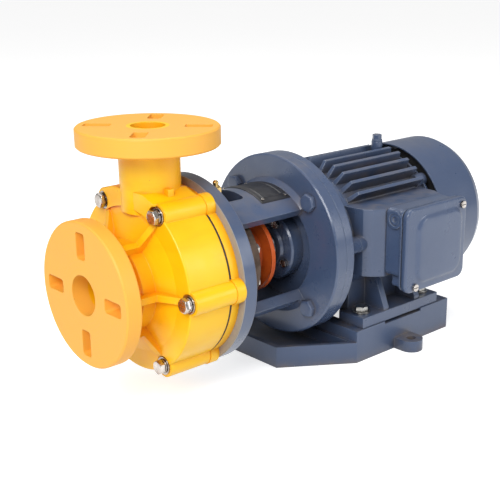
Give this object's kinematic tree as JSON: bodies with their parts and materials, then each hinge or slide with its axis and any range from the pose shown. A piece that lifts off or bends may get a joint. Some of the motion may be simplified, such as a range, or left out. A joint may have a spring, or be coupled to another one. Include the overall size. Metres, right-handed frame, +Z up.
{
  "type": "centrifugal pump",
  "caption": "Close-coupled centrifugal pump with slotted pipe flanges on a moulded casing, a windowed lantern, a finned foot-mounted motor and a cast base plate.",
  "frame": {"origin": "on the mounting plane under the base, midway between the two lug holes", "axes": "+X along the shaft from the suction flange to the fan cowl, +Z up, terminal box on the -Y side"},
  "size_m": [0.515, 0.252, 0.278],
  "materials": {
    "moulded_yellow": "moulded satin plastic",
    "blue_grey_paint": "semi-gloss machine enamel over cast iron",
    "stainless": "bright stainless",
    "steel": "turned steel",
    "black_rubber": "matt",
    "brass": "bright",
    "orange_rubber": "satin",
    "plate_black": "matt black",
    "ceramic_seat": "lapped",
    "carbon": "lapped carbon",
    "laminations": "laminated steel",
    "copper_winding": "varnished copper wire",
    "black_plastic": "moulded",
    "cast_aluminium": "as cast"
  },
  "bodies": {
    "stationary": {"pump_casing": "moulded_yellow", "back_cover": "moulded_yellow", "casing_gasket": "black_rubber", "casing_bolts": "stainless", "casing_spring_washers": "stainless", "casing_flat_washers": "stainless", "bracket": "blue_grey_paint", "flush_nipple": "brass", "name_plate": "plate_black", "name_plate_rivets": "stainless", "seal_gland": "stainless", "gland_bolts": "stainless", "seal_seat": "ceramic_seat", "seal_seat_rubber": "black_rubber", "front_bearing_outer_ring": "steel", "rear_bearing_outer_ring": "steel", "front_end_shield": "blue_grey_paint", "bearing_cap": "blue_grey_paint", "bearing_cap_screws": "stainless", "end_shield_bolts": "blue_grey_paint", "motor_frame": "blue_grey_paint", "stator_core": "laminations", "stator_windings": "copper_winding", "rear_end_shield": "blue_grey_paint", "rear_shield_screws": "steel", "fan_cowl": "blue_grey_paint", "cowl_screws": "blue_grey_paint", "terminal_box": "blue_grey_paint", "entry_plug": "blue_grey_paint", "lid_gasket": "black_rubber", "terminal_lid": "blue_grey_paint", "lid_screws": "stainless", "terminal_block": "black_plastic", "flange_bolts": "blue_grey_paint", "flange_nuts": "blue_grey_paint", "lifting_bolt": "blue_grey_paint", "foot_bolts": "steel", "foot_washers": "steel", "base_plate": "blue_grey_paint"},
    "rotor": {"pump_shaft": "steel", "impeller": "moulded_yellow", "impeller_nut": "stainless", "clamp_set_screws": "steel", "shaft_key": "steel", "slinger_disc": "orange_rubber", "motor_shaft": "steel", "rotor_core": "laminations", "cooling_fan": "black_plastic", "front_bearing_inner_ring": "steel", "rear_bearing_inner_ring": "steel", "seal_rotating_ring": "carbon", "seal_spring": "stainless", "seal_drive_collar": "stainless"}
  },
  "joints": [
    {"name": "rotor_spin", "type": "hinge", "parent": "stationary", "child": "rotor", "pos_m": [0, 0, 0.127], "axis": [1, 0, 0], "continuous": true}
  ]
}
